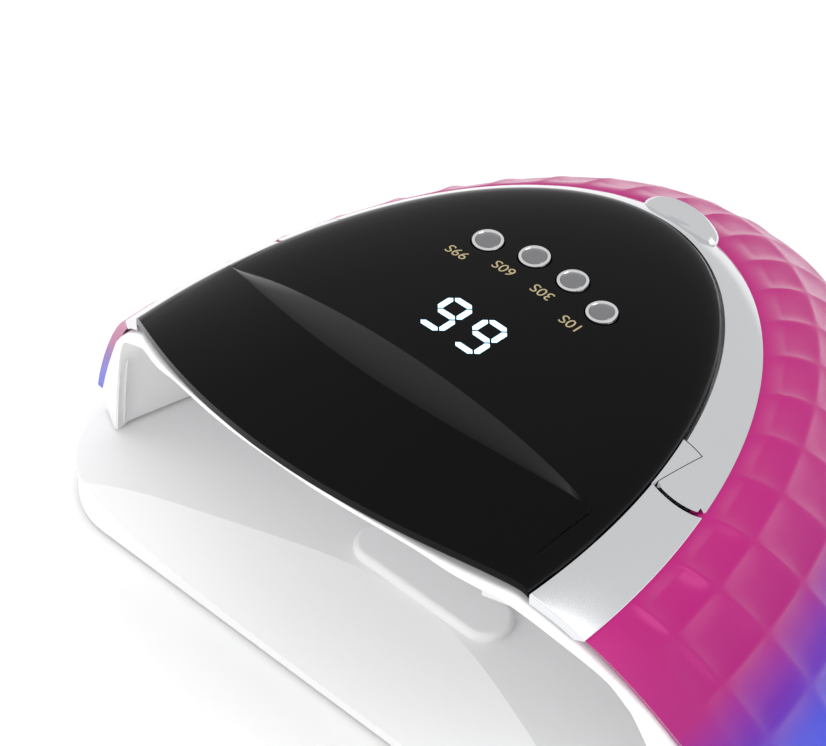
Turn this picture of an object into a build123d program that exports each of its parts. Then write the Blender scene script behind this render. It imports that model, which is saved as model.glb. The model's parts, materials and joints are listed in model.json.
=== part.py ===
from build123d import *
import os
from math import cos, radians, sin, sqrt

os.makedirs("parts", exist_ok=True)

# ---------------------------------------------------------------- driving dimensions (mm)
# Frame: X across the lamp, -Y is the mouth, +Z up, origin under the middle of the footprint.
HALF_WIDTH = 113.0          # half of the width at the foot of the shell
FRONT_RIM_Y = -97.5         # front of the panel's rim on the centre line
CENTRE_Y = -75.0            # where every plan ellipse has its widest point
REAR_Y = 97.5               # back of the shell's foot

BODY_Z = 12.6               # underside of the lamp head
BAND_HALF = (75.2, 121.0)   # plan half-axes of the chrome band's outer edge
BAND_Z, BAND_SLOPE = 71.5, 0.0275
PANEL_HALF = (63.5, 111.0)  # plan half-axes of the panel's edge
PANEL_Z, PANEL_SLOPE = 83.0, -0.0153
CROWN = 10.9                # rise of the panel above its edge
PANEL_LEG = 3.0             # height of the panel's rim wall
SHELL_WALL = 2.6
SIDE_BULGE, REAR_BULGE = 1.12, 1.5

VISOR_HALF = 61.8
VISOR_FRONT_Z, VISOR_BACK_Z = 95.3, 100.9
VISOR_FOOT_Y, VISOR_FOOT_Z = -51.5, 92.8
VISOR_FACE = (0, -15.5, 6.3)    # direction up the brow's slanted face

FRONT_RADIUS = 128.0        # bow of the mouth's edge in plan
FRONT_ARC_HALF = 62.0       # half-width of that bow, straight beyond it

TRAY_HALF = (104.0, 163.0)
TRAY_FRONT_Y = -82.0
TRAY_CORNER = 24.0
TRAY_TOP, TRAY_BOTTOM = 12.2, 1.4
RAMP_APEX_Y = -51.0         # back of the ramp on the centre line
RAMP_NOSE_Z = 3.4
GUIDE_LENGTH, GUIDE_WIDTH, GUIDE_Y, GUIDE_HEIGHT = 50.0, 14.0, -44.0, 2.4

LINER_WALL, LIP_THICK = 2.5, 3.0
# Depth, half-width and height of the curing cavity, from the mouth to its back wall.
CAVITY = ((-104, 98.5, 76.2), (-74, 98.0, 76.0), (-57, 95.8, 71.5), (-38, 91.0, 62.0), (-14, 87.5, 59.5),
          (8, 82.0, 57.5), (30, 72.5, 54.5), (48, 59.0, 50.0), (60, 44.0, 43.0))
FLANGE_Z, FLANGE_THICK = BODY_Z + 2.9, 2.4
PIVOT = (-27.0, 77.0)       # handle axis, Y and Z
TIP_RADIUS = 7.7
HANDLE_CORNER = (59.0, -24.0)   # centre of the rounded corner of the handle's tip in plan
CORNER_RADIUS = 10.0
BAND_THICK, TRIM_THICK = 6.0, 3.2
GAP = 0.35

BUTTONS = {"button_10s": 18.4, "button_30s": 6.2, "button_60s": -6.2, "button_99s": -18.4}
BUTTON_RADIUS, BUTTON_HOLE = 4.0, 4.25
BUTTON_TRAVEL = 0.7
RAMP_HALF = 88.0
MAGNETS = [(-97.5, -28), (97.5, -28), (-25, 74), (25, 74)]
MAGNET_RADIUS, MAGNET_DEPTH = 3.9, 2.5
FEET = [(-82, -58), (82, -58), (-62, 30), (62, 30)]
FOOT_RADIUS, FOOT_SEAT = 6.0, 1.0
SCREWS = [(-98.2, -42), (98.2, -42), (-84.3, 18), (84.3, 18), (-40, 69), (40, 69)]
SCREW_RADIUS, BOSS_RADIUS, BOSS_HEIGHT = 1.4, 3.4, 6.5
JACK_Z, JACK_RADIUS = 25.0, 5.6
RING_THICK, KEEPER_THICK = 2.6, 1.0
SCREW_HEAD, SCREW_HEAD_RADIUS = 1.8, 2.6
PANEL_WALL = 2.2
FRAME_THICK, FRAME_WINDOW, LEDGE_OUTER, LEDGE_DEEP = 2.8, (52.0, 98.0), (62.8, 110.3), 3.4
PIVOT_INNER, PIN_BOSS, PIN_RADIUS, BUSH_RADIUS = 56.6, 3.0, 1.2, 2.0
BOARD_POSTS = [(-27, -38), (27, -38), (-25, 4), (25, 4)]
POST_RADIUS, POST_SCREW, POST_HOLE = 2.4, 1.0, 3.2
TIP_UNDERSIDE, PIN_END = 74.2, 61.6
TIP_SEAM = 4.5              # the tip's round ends here, in front of the pin
PIN_PAD_X = (60.0, 63.0)    # pads under the handle's tips that the pins are pressed into
HANDLE_GAP = 0.85           # room beside the panel that the handle needs as it swings up
CHEEK_X, CHEEK_BACK = 59.4, -20.8    # fixed cheeks beside the panel; the handle's tips turn outside them
TIP_X, TIP_BACK = 59.8, -17.4        # inner side and back end of the narrow part of each tip
CORNER_GAP = 0.9
TIP_NOTCH_X, TIP_NOTCH_Z = (60.0, 76.0), 71.8   # the shell's rim is lowered where the handle's tips swing
TAB_Y, TAB_HALF, TAB_LOW, TAB_TOP = 44.0, (13.0, 8.0), 75.4, 81.0
PCB_HALF, PCB_Y, PCB_THICK = 31.0, (-42, 8), 1.6
SWITCH_BODY, SWITCH_TOP = 2.4, 3.0
DISPLAY_TOP = 88.6
BUTTON_PROUD = 1.3
BEAD_RADIUS, LENS_PROUD = 2.7, 1.4
ROOF_ROWS, ROOF_COLUMNS, ROOF_BOARD_Z = (-32, -20, -8, 4), (-20, -10, 0, 10, 20), 77.2
SIDE_ROWS, SIDE_ANGLES, SIDE_BEAD = (-38, -24, -10, 4), (16, 32, 48, 132, 148, 164), 4.9
SENSORS_X, SENSOR_Y, SENSOR_Z, SENSOR_RADIUS = (-7, 7), -66.0, 86.0, 2.2
JACK_Y, JACK_BORE, JACK_BORE_DEPTH, JACK_PIN = (82.0, 95.3), 3.2, 9.5, 1.0
PCB_TOP = 81.6
DISPLAY_Y = -34.8


def button_y(x):
    """Buttons lie on a shallow arc, the middle pair further back."""
    return -3.3 - 0.011 * x * x


def save(builder, label):
    builder.part.label = label
    export_step(builder.part, f"parts/{label}.step")


# ---------------------------------------------------------------- the dome's own geometry
def tilted(z, slope):
    """Plane through height z at CENTRE_Y, rising towards the back by slope."""
    return Plane(origin=(0, CENTRE_Y, z), x_dir=(1, 0, 0), z_dir=(0, -slope, 1))


def horseshoe(plane, half_x, half_y, front=-45.0):
    """Half ellipse behind the plane's origin, straight sides in front of it."""
    with BuildSketch(plane) as outline:
        with BuildLine():
            EllipticalCenterArc((0, 0), half_x, half_y, start_angle=0, arc_size=180)
            Polyline((-half_x, 0), (-half_x, front), (half_x, front), (half_x, 0))
        make_face()
    return outline.sketch


def shell_level(share, inset=0.0):
    """Plane and half-axes of the shell at a share of its height, 0 foot to 1 band."""
    side = (1 - share**SIDE_BULGE) ** (1 / SIDE_BULGE)
    rear = (1 - share**REAR_BULGE) ** (1 / REAR_BULGE)
    half_x = BAND_HALF[0] + (HALF_WIDTH - BAND_HALF[0]) * side
    half_y = BAND_HALF[1] + (REAR_Y - CENTRE_Y - BAND_HALF[1]) * rear
    plane = tilted(BODY_Z + (BAND_Z - BODY_Z) * share, BAND_SLOPE * share)
    return plane, half_x - inset, half_y - inset


def build_shell_form(inset=0.0):
    """Solid volume of the shell between the foot and the band."""
    with BuildPart() as form:
        loft([horseshoe(*shell_level(share, inset)) for share in (0, 0.25, 0.5, 0.72, 0.88, 1.0)])
    return form.part


def build_band_form(drop=0.0, inset=0.0):
    """Frustum between the band's outer edge and the panel's edge, lowered by drop."""
    low = horseshoe(tilted(BAND_Z - drop, BAND_SLOPE), BAND_HALF[0] - inset, BAND_HALF[1] - inset)
    high = horseshoe(tilted(PANEL_Z - drop, PANEL_SLOPE), *PANEL_HALF)
    with BuildPart() as form:
        loft([low, high], ruled=True)
    return form.part


def build_column(half_x, half_y, low=0.0, high=110.0):
    """Upright horseshoe column, used to part the band from the panel."""
    with BuildPart() as column:
        extrude(horseshoe(Plane((0, CENTRE_Y, low)), half_x, half_y), amount=high - low)
    return column.part


def build_keep(back=0.0):
    """Everything behind the bowed front edge, moved back by an amount."""
    arc_y = FRONT_RIM_Y + FRONT_RADIUS - sqrt(FRONT_RADIUS**2 - FRONT_ARC_HALF**2)
    slope = FRONT_ARC_HALF / sqrt(FRONT_RADIUS**2 - FRONT_ARC_HALF**2)
    reach = 130.0
    side_y = arc_y + slope * (reach - FRONT_ARC_HALF)
    with BuildPart() as keep:
        with BuildSketch(Plane.XY.offset(-5)):
            with BuildLine():
                ThreePointArc((-FRONT_ARC_HALF, arc_y + back), (0, FRONT_RIM_Y + back), (FRONT_ARC_HALF, arc_y + back))
                Polyline((FRONT_ARC_HALF, arc_y + back), (reach, side_y + back), (reach, 130),
                         (-reach, 130), (-reach, side_y + back), (-FRONT_ARC_HALF, arc_y + back))
            make_face()
        extrude(amount=125)
    return keep.part


def dome_section(y, half, rise, leg):
    """Half ellipse on two short legs, across the lamp at a depth."""
    base_z = PANEL_Z + PANEL_SLOPE * (y - CENTRE_Y)
    with BuildSketch(Plane((0, y, base_z), x_dir=(1, 0, 0), z_dir=(0, -1, 0))) as section:
        with BuildLine():
            EllipticalCenterArc((0, 0), half, rise, start_angle=0, arc_size=180)
            Polyline((-half, 0), (-half, -leg), (half, -leg), (half, 0))
        make_face()
    return section.sketch


def build_dome(inset=0.0, drop=0.0, leg=PANEL_LEG):
    """The panel's crown: elliptic behind CENTRE_Y, carried straight forward in front of it."""
    half_x, half_y, rise = PANEL_HALF[0] - inset, PANEL_HALF[1] - inset, CROWN - drop
    sections = [dome_section(FRONT_RIM_Y - 10, half_x, rise, leg)]
    for share in (0, 0.3, 0.55, 0.75, 0.9, 0.97, 0.995):
        shrink = sqrt(1 - share * share)
        sections.append(dome_section(CENTRE_Y + half_y * share, half_x * shrink, rise * shrink, leg))
    with BuildPart() as dome:
        loft(sections)
    return dome.part


def panel_skin(x, y):
    """Height of the panel's crown, without the visor."""
    spread = 1 - (x / PANEL_HALF[0]) ** 2 - (max(0.0, y - CENTRE_Y) / PANEL_HALF[1]) ** 2
    return PANEL_Z + PANEL_SLOPE * (y - CENTRE_Y) + CROWN * sqrt(spread)


def arch_slab(y, half, edge_z, top_z, low_z):
    """Circular arch over straight legs, across the lamp at a depth."""
    with BuildSketch(Plane((0, y, 0), x_dir=(1, 0, 0), z_dir=(0, -1, 0))) as section:
        with BuildLine():
            ThreePointArc((half, edge_z), (0, top_z), (-half, edge_z))
            Polyline((-half, edge_z), (-half, low_z), (half, low_z), (half, edge_z))
        make_face()
    return section.sketch


def build_visor():
    """The apron in front of the brow, cut off behind by the slanted brow face."""
    with BuildPart() as visor:
        loft([arch_slab(FRONT_RIM_Y - 2, VISOR_HALF, PANEL_Z - 0.3, VISOR_FRONT_Z, PANEL_Z - 1.5),
              arch_slab(VISOR_FOOT_Y, VISOR_HALF, PANEL_Z - 0.6, VISOR_BACK_Z, PANEL_Z - 1.5)], ruled=True)
        with BuildSketch(Plane.XY.offset(VISOR_FOOT_Z)):
            with BuildLine():
                Spline((-VISOR_HALF - 8, -92), (-45, -60.5), (0, VISOR_FOOT_Y), (45, -60.5), (VISOR_HALF + 8, -92))
                Polyline((-VISOR_HALF - 8, -92), (-VISOR_HALF - 8, 0), (VISOR_HALF + 8, 0), (VISOR_HALF + 8, -92))
            make_face()
        extrude(amount=30, both=True, dir=VISOR_FACE, mode=Mode.SUBTRACT)
    return visor.part


# ---------------------------------------------------------------- the curing cavity
def cavity_section(y):
    """Half-width and height above the floor of the cavity at a depth."""
    for (y0, half0, height0), (y1, half1, height1) in zip(CAVITY, CAVITY[1:]):
        if y <= y1:
            share = (y - y0) / (y1 - y0)
            return half0 + share * (half1 - half0), height0 + share * (height1 - height0)
    return CAVITY[-1][1:]


def arch(y, half, height):
    """Half-elliptic arch standing on the cavity's floor at a depth."""
    with BuildSketch(Plane((0, y, BODY_Z), x_dir=(1, 0, 0), z_dir=(0, -1, 0))) as section:
        with BuildLine():
            EllipticalCenterArc((0, 0), half, height, start_angle=0, arc_size=180)
            Polyline((-half, 0), (-half, -8), (half, -8), (half, 0))
        make_face()
    return section.sketch


def build_cavity(grow=0.0):
    sections = []
    for y, half, height in CAVITY:
        depth = y + grow if y == CAVITY[-1][0] else y
        sections.append(arch(depth, half + grow, height + grow))
    with BuildPart() as cavity:
        loft(sections)
    return cavity.part


def upright(x, y, low, high, radius):
    """Plain upright cylinder between two heights."""
    with BuildPart() as rod:
        with BuildSketch(Plane((x, y, low))):
            Circle(radius)
        extrude(amount=high - low)
    return rod.part


def across_x(x0, x1, y, z, radius):
    """Plain cylinder along X between two stations."""
    with BuildPart() as rod:
        with BuildSketch(Plane((x0, y, z), x_dir=(0, 1, 0), z_dir=(1, 0, 0))):
            Circle(radius)
        extrude(amount=x1 - x0)
    return rod.part


def block(x0, x1, y0, y1, z0, z1):
    with BuildPart() as box:
        with BuildSketch(Plane(((x0 + x1) / 2, (y0 + y1) / 2, z0))):
            Rectangle(x1 - x0, y1 - y0)
        extrude(amount=z1 - z0)
    return box.part


def handle_zone(corner, tip):
    """Room of the folding handle: rounded corner in plan, round tip about the pivot seen from the side."""
    with BuildPart() as plan:
        for side in (-1, 1):
            with BuildSketch(Plane((side * HANDLE_CORNER[0], HANDLE_CORNER[1], 60))):
                Circle(corner)
            extrude(amount=40)
        add(block(-90, 90, HANDLE_CORNER[1], 120, 60, 100))
        add(block(-HANDLE_CORNER[0], HANDLE_CORNER[0], -50, 120, 60, 100))
    with BuildPart() as zone:
        add(across_x(-90, 90, *PIVOT, tip))
        add(block(-90, 90, PIVOT[0] - TIP_SEAM, 120, 60, 110))
        add(plan.part, mode=Mode.INTERSECT)
    return zone.part


# ---------------------------------------------------------------- shared forms
keep = build_keep()
keep_behind_lip = build_keep(LIP_THICK + 0.3)
shell_inner = build_shell_form(SHELL_WALL)
cavity = build_cavity()
cavity_wall = build_cavity(LINER_WALL)
cavity_clear = build_cavity(LINER_WALL + GAP)
panel_column = build_column(PANEL_HALF[0] + GAP, PANEL_HALF[1] + GAP)

# ---------------------------------------------------------------- base tray and its feet
with BuildPart() as tray_outline:
    with BuildSketch(Plane.XY.offset(TRAY_BOTTOM)):
        with BuildLine():
            EllipticalCenterArc((0, CENTRE_Y + 20), TRAY_HALF[0], TRAY_HALF[1] - 20, start_angle=0, arc_size=180)
            Polyline((-TRAY_HALF[0], CENTRE_Y + 20), (-TRAY_HALF[0], TRAY_FRONT_Y),
                     (TRAY_HALF[0], TRAY_FRONT_Y), (TRAY_HALF[0], CENTRE_Y + 20))
        make_face()
    extrude(amount=TRAY_TOP - TRAY_BOTTOM)
    fillet(tray_outline.edges().filter_by(Axis.Z).group_by(Axis.Y)[0], TRAY_CORNER)


def ramp_section(x, y_back, nose_z):
    """Side view of the ramp at one station across the tray."""
    with BuildSketch(Plane((x, 0, 0), x_dir=(0, 1, 0), z_dir=(1, 0, 0))) as section:
        with BuildLine():
            Polyline((TRAY_FRONT_Y - 3, TRAY_BOTTOM - 1), (TRAY_FRONT_Y - 3, nose_z),
                     (y_back, TRAY_TOP), (-40, TRAY_TOP), (-40, TRAY_BOTTOM - 1), close=True)
        make_face()
    return section.sketch


def ramp_nose(x):
    """The ramp's front edge rises towards the tray's corners."""
    return RAMP_NOSE_Z + (TRAY_TOP - RAMP_NOSE_Z - 1.0) * (abs(x) / RAMP_HALF) ** 4


def ramp_back(x):
    """The ramp ends along an arc that meets the tray's front corners."""
    return RAMP_APEX_Y - (RAMP_APEX_Y - TRAY_FRONT_Y - 1.5) * (abs(x) / RAMP_HALF) ** 1.6


with BuildPart() as ramp:
    loft([ramp_section(x, ramp_back(x), ramp_nose(x)) for x in (-RAMP_HALF, -60, -30, 0, 30, 60, RAMP_HALF)])

with BuildPart() as front_part:
    add(block(-RAMP_HALF, RAMP_HALF, TRAY_FRONT_Y - 5, -40, 0, 20))
    add(ramp.part, mode=Mode.SUBTRACT)

with BuildPart() as base_tray:
    add(tray_outline.part)
    add(front_part.part, mode=Mode.SUBTRACT)
    with BuildSketch(Plane((0, GUIDE_Y, TRAY_TOP))):
        SlotOverall(GUIDE_LENGTH, GUIDE_WIDTH)
    extrude(amount=GUIDE_HEIGHT)
    fillet(base_tray.edges().group_by(Axis.Z)[-1], 1.6)
    for x, y in MAGNETS:
        add(upright(x, y, TRAY_TOP - MAGNET_DEPTH, TRAY_TOP + 1, MAGNET_RADIUS + 0.05), mode=Mode.SUBTRACT)
    for x, y in FEET:
        add(upright(x, y, 0, TRAY_BOTTOM + FOOT_SEAT, FOOT_RADIUS + 0.05), mode=Mode.SUBTRACT)
save(base_tray, "base_tray")

with BuildPart() as rubber_feet:
    for x, y in FEET:
        with BuildSketch(Plane((x, y, 0))):
            Circle(FOOT_RADIUS)
        extrude(amount=TRAY_BOTTOM + FOOT_SEAT)
    chamfer(rubber_feet.edges().group_by(Axis.Z)[0], 0.5)
save(rubber_feet, "rubber_feet")

with BuildPart() as tray_magnets:
    for x, y in MAGNETS:
        add(upright(x, y, TRAY_TOP - MAGNET_DEPTH, TRAY_TOP, MAGNET_RADIUS))
save(tray_magnets, "tray_magnets")

# ---------------------------------------------------------------- where the LEDs look in
def build_bead(origin, outward, length, radius=BEAD_RADIUS):
    """LED package with a domed lens: the lens stands into the cavity, the package behind the liner."""
    plane = Plane(origin, z_dir=outward)
    with BuildPart() as led:
        with BuildSketch(plane.offset(-LENS_PROUD)):
            Circle(radius)
        extrude(amount=length + LENS_PROUD)
        fillet(led.edges().filter_by(GeomType.CIRCLE).sort_by(Axis(plane.origin, plane.z_dir))[0], 1.1)
    return led.part


def arch_place(y, angle):
    """Point on the cavity's skin and the direction away from the cavity there."""
    half, height = cavity_section(y)
    across, up = cos(radians(angle)), sin(radians(angle))
    return Vector(half * across, y, BODY_Z + height * up), Vector(height * across, 0, half * up).normalized()


beads = []
for y in ROOF_ROWS:
    half, height = cavity_section(y)
    for x in ROOF_COLUMNS:
        roof = BODY_Z + height * sqrt(1 - (x / half) ** 2)
        beads.append((Vector(x, y, roof), Vector(0, 0, 1), ROOF_BOARD_Z - roof))
for angle in SIDE_ANGLES:
    for y in SIDE_ROWS:
        skin, away = arch_place(y, angle)
        beads.append((skin, away, SIDE_BEAD))

# ---------------------------------------------------------------- shell, liner and base ring
with BuildPart() as jack_hole:
    with BuildSketch(Plane((0, 80, JACK_Z), x_dir=(1, 0, 0), z_dir=(0, 1, 0))):
        Circle(JACK_RADIUS + 0.1)
    extrude(amount=30)

with BuildPart() as outer_shell:
    add(build_shell_form())
    add(shell_inner, mode=Mode.SUBTRACT)
    add(keep, mode=Mode.INTERSECT)
    add(jack_hole.part, mode=Mode.SUBTRACT)
    for side in (-1, 1):
        span = sorted(side * x for x in TIP_NOTCH_X)
        add(block(*span, PIVOT[0] - TIP_RADIUS, PIVOT[0] + TIP_RADIUS, TIP_NOTCH_Z, 80), mode=Mode.SUBTRACT)
save(outer_shell, "outer_shell")

with BuildPart() as head_room:
    add(build_shell_form(SHELL_WALL + GAP))
    add(build_band_form(drop=TRIM_THICK + GAP))
    add(build_dome(2.6, 2.7, 7))

keep_behind_bezel = build_keep(LIP_THICK)
below_head = block(-130, 130, -130, 130, -10, BODY_Z)

with BuildPart() as mouth_bezel:
    add(head_room.part)
    add(keep, mode=Mode.INTERSECT)
    add(keep_behind_bezel, mode=Mode.SUBTRACT)
    add(cavity, mode=Mode.SUBTRACT)
    add(below_head, mode=Mode.SUBTRACT)
save(mouth_bezel, "mouth_bezel")

with BuildPart() as inner_liner:
    add(cavity_wall)
    with BuildSketch(Plane((0, CENTRE_Y, FLANGE_Z))):
        add(horseshoe(Plane.XY, HALF_WIDTH - 5.5, REAR_Y - CENTRE_Y - 5.5))
    extrude(amount=FLANGE_THICK)
    for x, y in SCREWS:
        with BuildSketch(Plane((x, y, FLANGE_Z))):
            Circle(BOSS_RADIUS)
        extrude(amount=BOSS_HEIGHT)
    add(cavity, mode=Mode.SUBTRACT)
    add(below_head, mode=Mode.SUBTRACT)
    add(keep_behind_bezel, mode=Mode.INTERSECT)
    for x, y in SCREWS:
        add(upright(x, y, FLANGE_Z - 1, FLANGE_Z + BOSS_HEIGHT - 1.5, SCREW_RADIUS), mode=Mode.SUBTRACT)
    for origin, away, length in beads:
        add(build_bead(origin, away, length, BEAD_RADIUS + 0.03), mode=Mode.SUBTRACT)
    for x in SENSORS_X:
        add(upright(x, SENSOR_Y, SENSOR_Z - 2, SENSOR_Z + 8, SENSOR_RADIUS + 0.03), mode=Mode.SUBTRACT)
save(inner_liner, "inner_liner")

with BuildPart() as base_ring:
    extrude(horseshoe(Plane((0, CENTRE_Y, BODY_Z)), HALF_WIDTH - 4.6, REAR_Y - CENTRE_Y - 4.6), amount=RING_THICK)
    add(cavity_clear, mode=Mode.SUBTRACT)
    add(keep_behind_lip, mode=Mode.INTERSECT)
    for x, y in MAGNETS:
        add(upright(x, y, 0, BODY_Z + KEEPER_THICK, MAGNET_RADIUS + 0.05), mode=Mode.SUBTRACT)
    for x, y in SCREWS:
        add(upright(x, y, 0, 20, SCREW_RADIUS + 0.2), mode=Mode.SUBTRACT)
        add(upright(x, y, 0, BODY_Z + SCREW_HEAD, SCREW_HEAD_RADIUS + 0.2), mode=Mode.SUBTRACT)
save(base_ring, "base_ring")

with BuildPart() as keeper_plates:
    for x, y in MAGNETS:
        add(upright(x, y, BODY_Z, BODY_Z + KEEPER_THICK, MAGNET_RADIUS))
save(keeper_plates, "keeper_plates")


def build_screws(places, head_z, head_height, head_radius, radius, length):
    """Cross-head screws standing head down, one solid each."""
    with BuildPart() as screws:
        for x, y in places:
            add(upright(x, y, head_z, head_z + head_height, head_radius))
            add(upright(x, y, head_z, head_z + length, radius))
        for x, y in places:
            for turn in (0, 90):
                with BuildSketch(Plane((x, y, head_z))):
                    Rectangle(head_radius * 1.2, 0.5, rotation=turn)
                extrude(amount=head_height * 0.5, mode=Mode.SUBTRACT)
    return screws


assembly_screws = build_screws(SCREWS, BODY_Z + 0.2, SCREW_HEAD - 0.2, SCREW_HEAD_RADIUS, SCREW_RADIUS, 7.4)
save(assembly_screws, "assembly_screws")

# ---------------------------------------------------------------- panel, frame and band
with BuildPart() as control_panel:
    add(build_dome())
    add(build_visor())
    add(build_dome(PANEL_WALL, PANEL_WALL + 0.1, 6), mode=Mode.SUBTRACT)
    for x, y in BOARD_POSTS:
        add(upright(x, y, PCB_TOP, panel_skin(x, y) - 1.2, POST_RADIUS))
    add(keep, mode=Mode.INTERSECT)
    for x in BUTTONS.values():
        add(upright(x, button_y(x), 80, 100, BUTTON_HOLE), mode=Mode.SUBTRACT)
    for x, y in BOARD_POSTS:
        add(upright(x, y, PCB_TOP - 1, PCB_TOP + POST_HOLE, POST_SCREW), mode=Mode.SUBTRACT)
save(control_panel, "control_panel")

with BuildPart() as top_frame:
    add(build_band_form(drop=BAND_THICK + GAP, inset=0.4))
    add(build_band_form(drop=BAND_THICK + FRAME_THICK), mode=Mode.SUBTRACT)
    extrude(horseshoe(tilted(PANEL_Z - PANEL_LEG - LEDGE_DEEP, PANEL_SLOPE), *LEDGE_OUTER), amount=LEDGE_DEEP - 0.2)
    add(build_column(*FRAME_WINDOW), mode=Mode.SUBTRACT)
    add(cavity_clear, mode=Mode.SUBTRACT)
    add(keep_behind_lip, mode=Mode.INTERSECT)
    for side in (-1, 1):
        add(across_x(side * PIVOT_INNER, side * 74, *PIVOT, TIP_RADIUS + 0.6), mode=Mode.SUBTRACT)
        add(across_x(side * (PIVOT_INNER - 6), side * PIVOT_INNER, *PIVOT, PIN_BOSS))
    add(block(-70, 70, PIVOT[0] - 5, PIVOT[0] + 5, PIVOT[1] + 2, 95), mode=Mode.SUBTRACT)
    for side in (-1, 1):
        add(across_x(side * (PIVOT_INNER - 7), side * (PIVOT_INNER + 1), *PIVOT, BUSH_RADIUS + 0.02), mode=Mode.SUBTRACT)
save(top_frame, "top_frame")

band = build_band_form()

with BuildPart() as trim_band:
    add(band)
    add(build_band_form(drop=TRIM_THICK), mode=Mode.SUBTRACT)
    add(keep, mode=Mode.INTERSECT)

with BuildPart() as trim_cut:
    add(handle_zone(CORNER_RADIUS + CORNER_GAP, TIP_RADIUS + GAP))
    add(block(-CHEEK_X, CHEEK_X, -60, CHEEK_BACK, 50, 110), mode=Mode.SUBTRACT)

with BuildPart() as front_trims:
    add(trim_band.part)
    add(block(-130, 130, -110, HANDLE_CORNER[1] + 4, 50, 110), mode=Mode.INTERSECT)
    add(trim_cut.part, mode=Mode.SUBTRACT)
    add(panel_column, mode=Mode.SUBTRACT)
    for side in (-1, 1):
        add(across_x(side * 50, side * 62, *PIVOT, PIN_RADIUS + 0.4), mode=Mode.SUBTRACT)
for side, label in ((-1, "front_trim_left"), (1, "front_trim_right")):
    with BuildPart() as front_trim:
        add(front_trims.part)
        split(bisect_by=Plane.YZ, keep=Keep.TOP if side > 0 else Keep.BOTTOM)
    save(front_trim, label)

with BuildPart() as carry_handle:
    add(band)
    add(build_band_form(drop=BAND_THICK), mode=Mode.SUBTRACT)
    add(handle_zone(CORNER_RADIUS, TIP_RADIUS), mode=Mode.INTERSECT)
    add(block(-90, 90, -40, PIVOT[0] + 7, 60, TIP_UNDERSIDE), mode=Mode.SUBTRACT)
    with BuildSketch(Plane((0, TAB_Y, TAB_LOW))):
        Ellipse(*TAB_HALF)
    extrude(amount=TAB_TOP - TAB_LOW)
    add(build_column(PANEL_HALF[0] + HANDLE_GAP, PANEL_HALF[1] + HANDLE_GAP), mode=Mode.SUBTRACT)
    add(block(-TIP_X, TIP_X, -60, TIP_BACK, 50, 110), mode=Mode.SUBTRACT)
    for side in (-1, 1):
        ends = sorted(side * x for x in PIN_PAD_X)
        add(block(*ends, PIVOT[0] - 2.4, PIVOT[0] + 2.4, PIVOT[1] - 2.6, PIVOT[1] + 0.5))
    for side in (-1, 1):
        add(across_x(side * 50, side * PIN_END, *PIVOT, PIN_RADIUS), mode=Mode.SUBTRACT)
save(carry_handle, "carry_handle")

with BuildPart() as handle_pins:
    for side in (-1, 1):
        add(across_x(side * (PIVOT_INNER - 7), side * PIN_END, *PIVOT, PIN_RADIUS))
save(handle_pins, "handle_pins")

with BuildPart() as handle_bushes:
    for side in (-1, 1):
        add(across_x(side * (PIVOT_INNER - 6), side * (PIVOT_INNER + 0.5), *PIVOT, BUSH_RADIUS))
        add(across_x(side * 40, side * 70, *PIVOT, PIN_RADIUS + 0.05), mode=Mode.SUBTRACT)
save(handle_bushes, "handle_bushes")

# ---------------------------------------------------------------- controls
with BuildPart() as control_pcb:
    with BuildSketch(Plane((0, (PCB_Y[0] + PCB_Y[1]) / 2, PCB_TOP - PCB_THICK))):
        RectangleRounded(2 * PCB_HALF, PCB_Y[1] - PCB_Y[0], 3)
    extrude(amount=PCB_THICK)
    for x, y in BOARD_POSTS:
        add(upright(x, y, 70, 90, POST_SCREW + 0.1), mode=Mode.SUBTRACT)
save(control_pcb, "control_pcb")

pcb_screws = build_screws(BOARD_POSTS, PCB_TOP - PCB_THICK - 1.2, 1.2, 1.9, POST_SCREW, POST_HOLE + 2.4)
save(pcb_screws, "pcb_screws")

with BuildPart() as display_module:
    with BuildSketch(Plane((0, DISPLAY_Y, PCB_TOP))):
        Rectangle(26, 18)
    extrude(amount=DISPLAY_TOP - PCB_TOP)
    chamfer(display_module.edges().group_by(Axis.Z)[-1], 0.4)
save(display_module, "display_module")

with BuildPart() as tact_switches:
    for x in BUTTONS.values():
        with BuildSketch(Plane((x, button_y(x), PCB_TOP))):
            Rectangle(6, 6)
        extrude(amount=SWITCH_BODY)
        with BuildSketch(Plane((x, button_y(x), PCB_TOP + SWITCH_BODY))):
            Circle(1.7)
        extrude(amount=SWITCH_TOP - SWITCH_BODY)
save(tact_switches, "tact_switches")

for label, x in BUTTONS.items():
    y = button_y(x)
    skin_z = panel_skin(x, y)
    with BuildPart() as button:
        with BuildSketch(Plane((x, y, skin_z))):
            Circle(BUTTON_RADIUS)
        extrude(amount=BUTTON_PROUD)
        extrude(button.faces().sort_by(Axis.Z)[0], amount=3.6)
        fillet(button.edges().group_by(Axis.Z)[-1], 0.8)
        add(upright(x, y, skin_z - 4.6, skin_z - 3.5, BUTTON_RADIUS + 1.2))
        add(upright(x, y, PCB_TOP + SWITCH_TOP + BUTTON_TRAVEL + 0.1, skin_z - 3, 1.8))
    save(button, label)

# ---------------------------------------------------------------- curing LEDs


with BuildPart() as led_beads:
    for origin, away, length in beads:
        add(build_bead(origin, away, length))
save(led_beads, "led_beads")

with BuildPart() as led_board_top:
    with BuildSketch(Plane((0, (ROOF_ROWS[0] + ROOF_ROWS[-1]) / 2, ROOF_BOARD_Z))):
        RectangleRounded(ROOF_COLUMNS[-1] * 2 + 8, ROOF_ROWS[-1] - ROOF_ROWS[0] + 12, 3)
    extrude(amount=1.2)
save(led_board_top, "led_board_top")

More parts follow.
